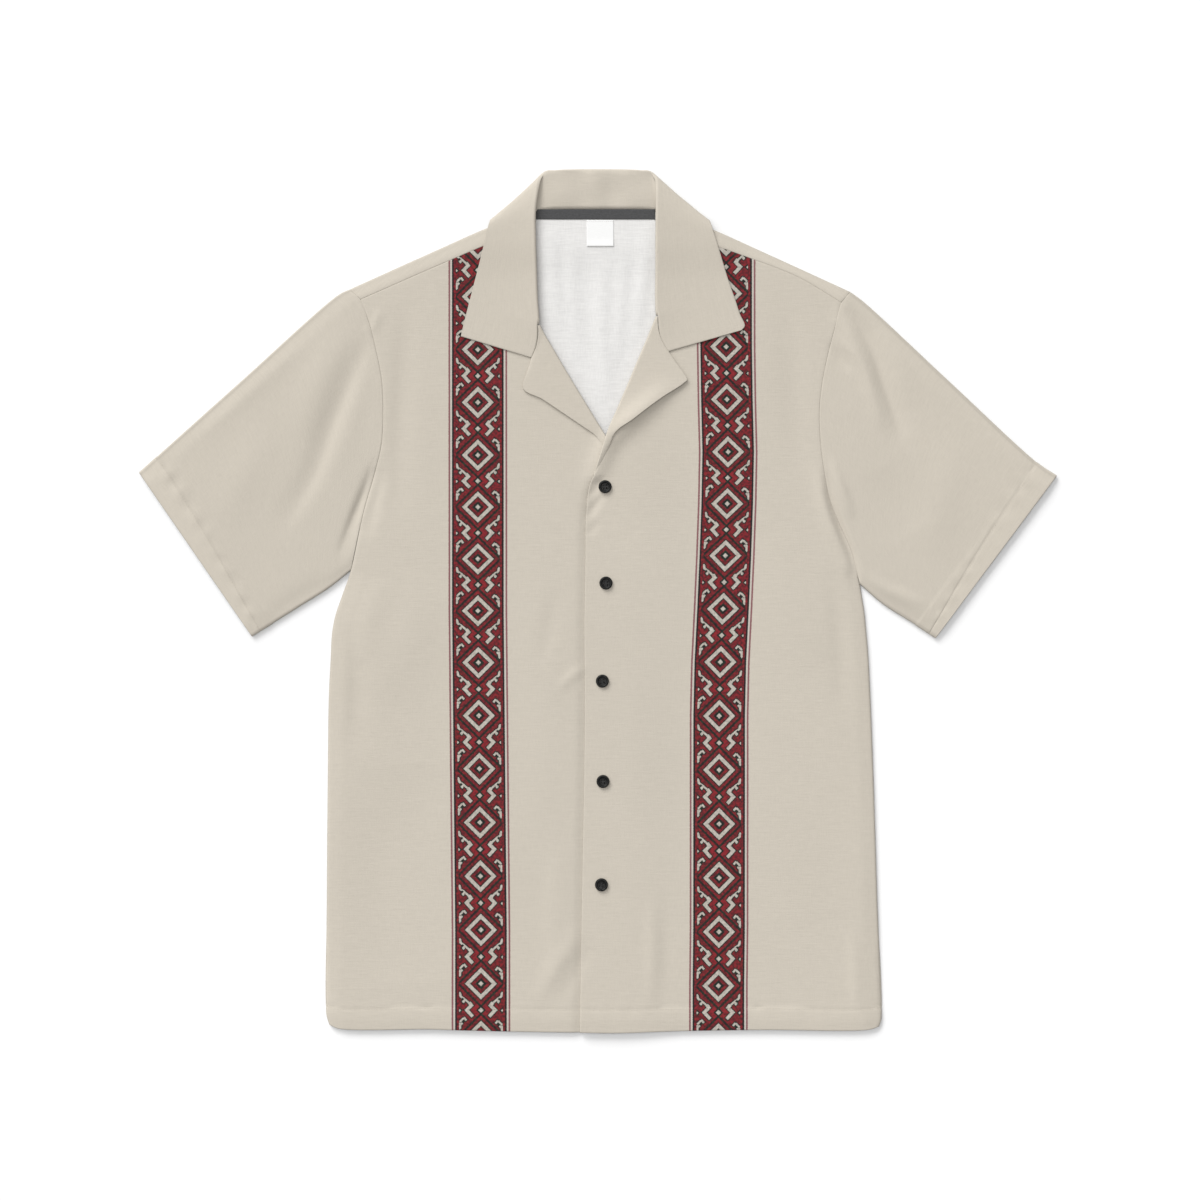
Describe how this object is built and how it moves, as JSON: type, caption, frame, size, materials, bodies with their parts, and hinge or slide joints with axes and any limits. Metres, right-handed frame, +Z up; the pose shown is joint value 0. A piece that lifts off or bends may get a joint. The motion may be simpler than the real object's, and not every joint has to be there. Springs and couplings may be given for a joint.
{
  "type": "camp shirt",
  "caption": "Short-sleeved camp shirt with a notched open collar, buttoned and laid flat, front up, with a printed folk band down each front.",
  "frame": {"origin": "middle of the laid shirt's footprint, on the surface that it lies on", "axes": "+Z up from the surface, +Y from hem to collar, +X from one sleeve to the other, to the viewer's right"},
  "size_m": [0.8434, 0.7943, 0.0099],
  "materials": {
    "shirt_cloth": "matte slubbed plain weave",
    "tape": "matte twill tape",
    "label": "smooth woven label",
    "button": "satin moulded"
  },
  "bodies": {
    "root": {"back": "shirt_cloth", "front_left": "shirt_cloth", "front_right": "shirt_cloth", "sleeve_left": "shirt_cloth", "sleeve_right": "shirt_cloth", "collar": "shirt_cloth", "lapel_left": "shirt_cloth", "lapel_right": "shirt_cloth", "neck_tape": "tape", "care_label": "label", "button_1": "button", "button_2": "button", "button_3": "button", "button_4": "button", "button_5": "button"}
  },
  "joints": []
}
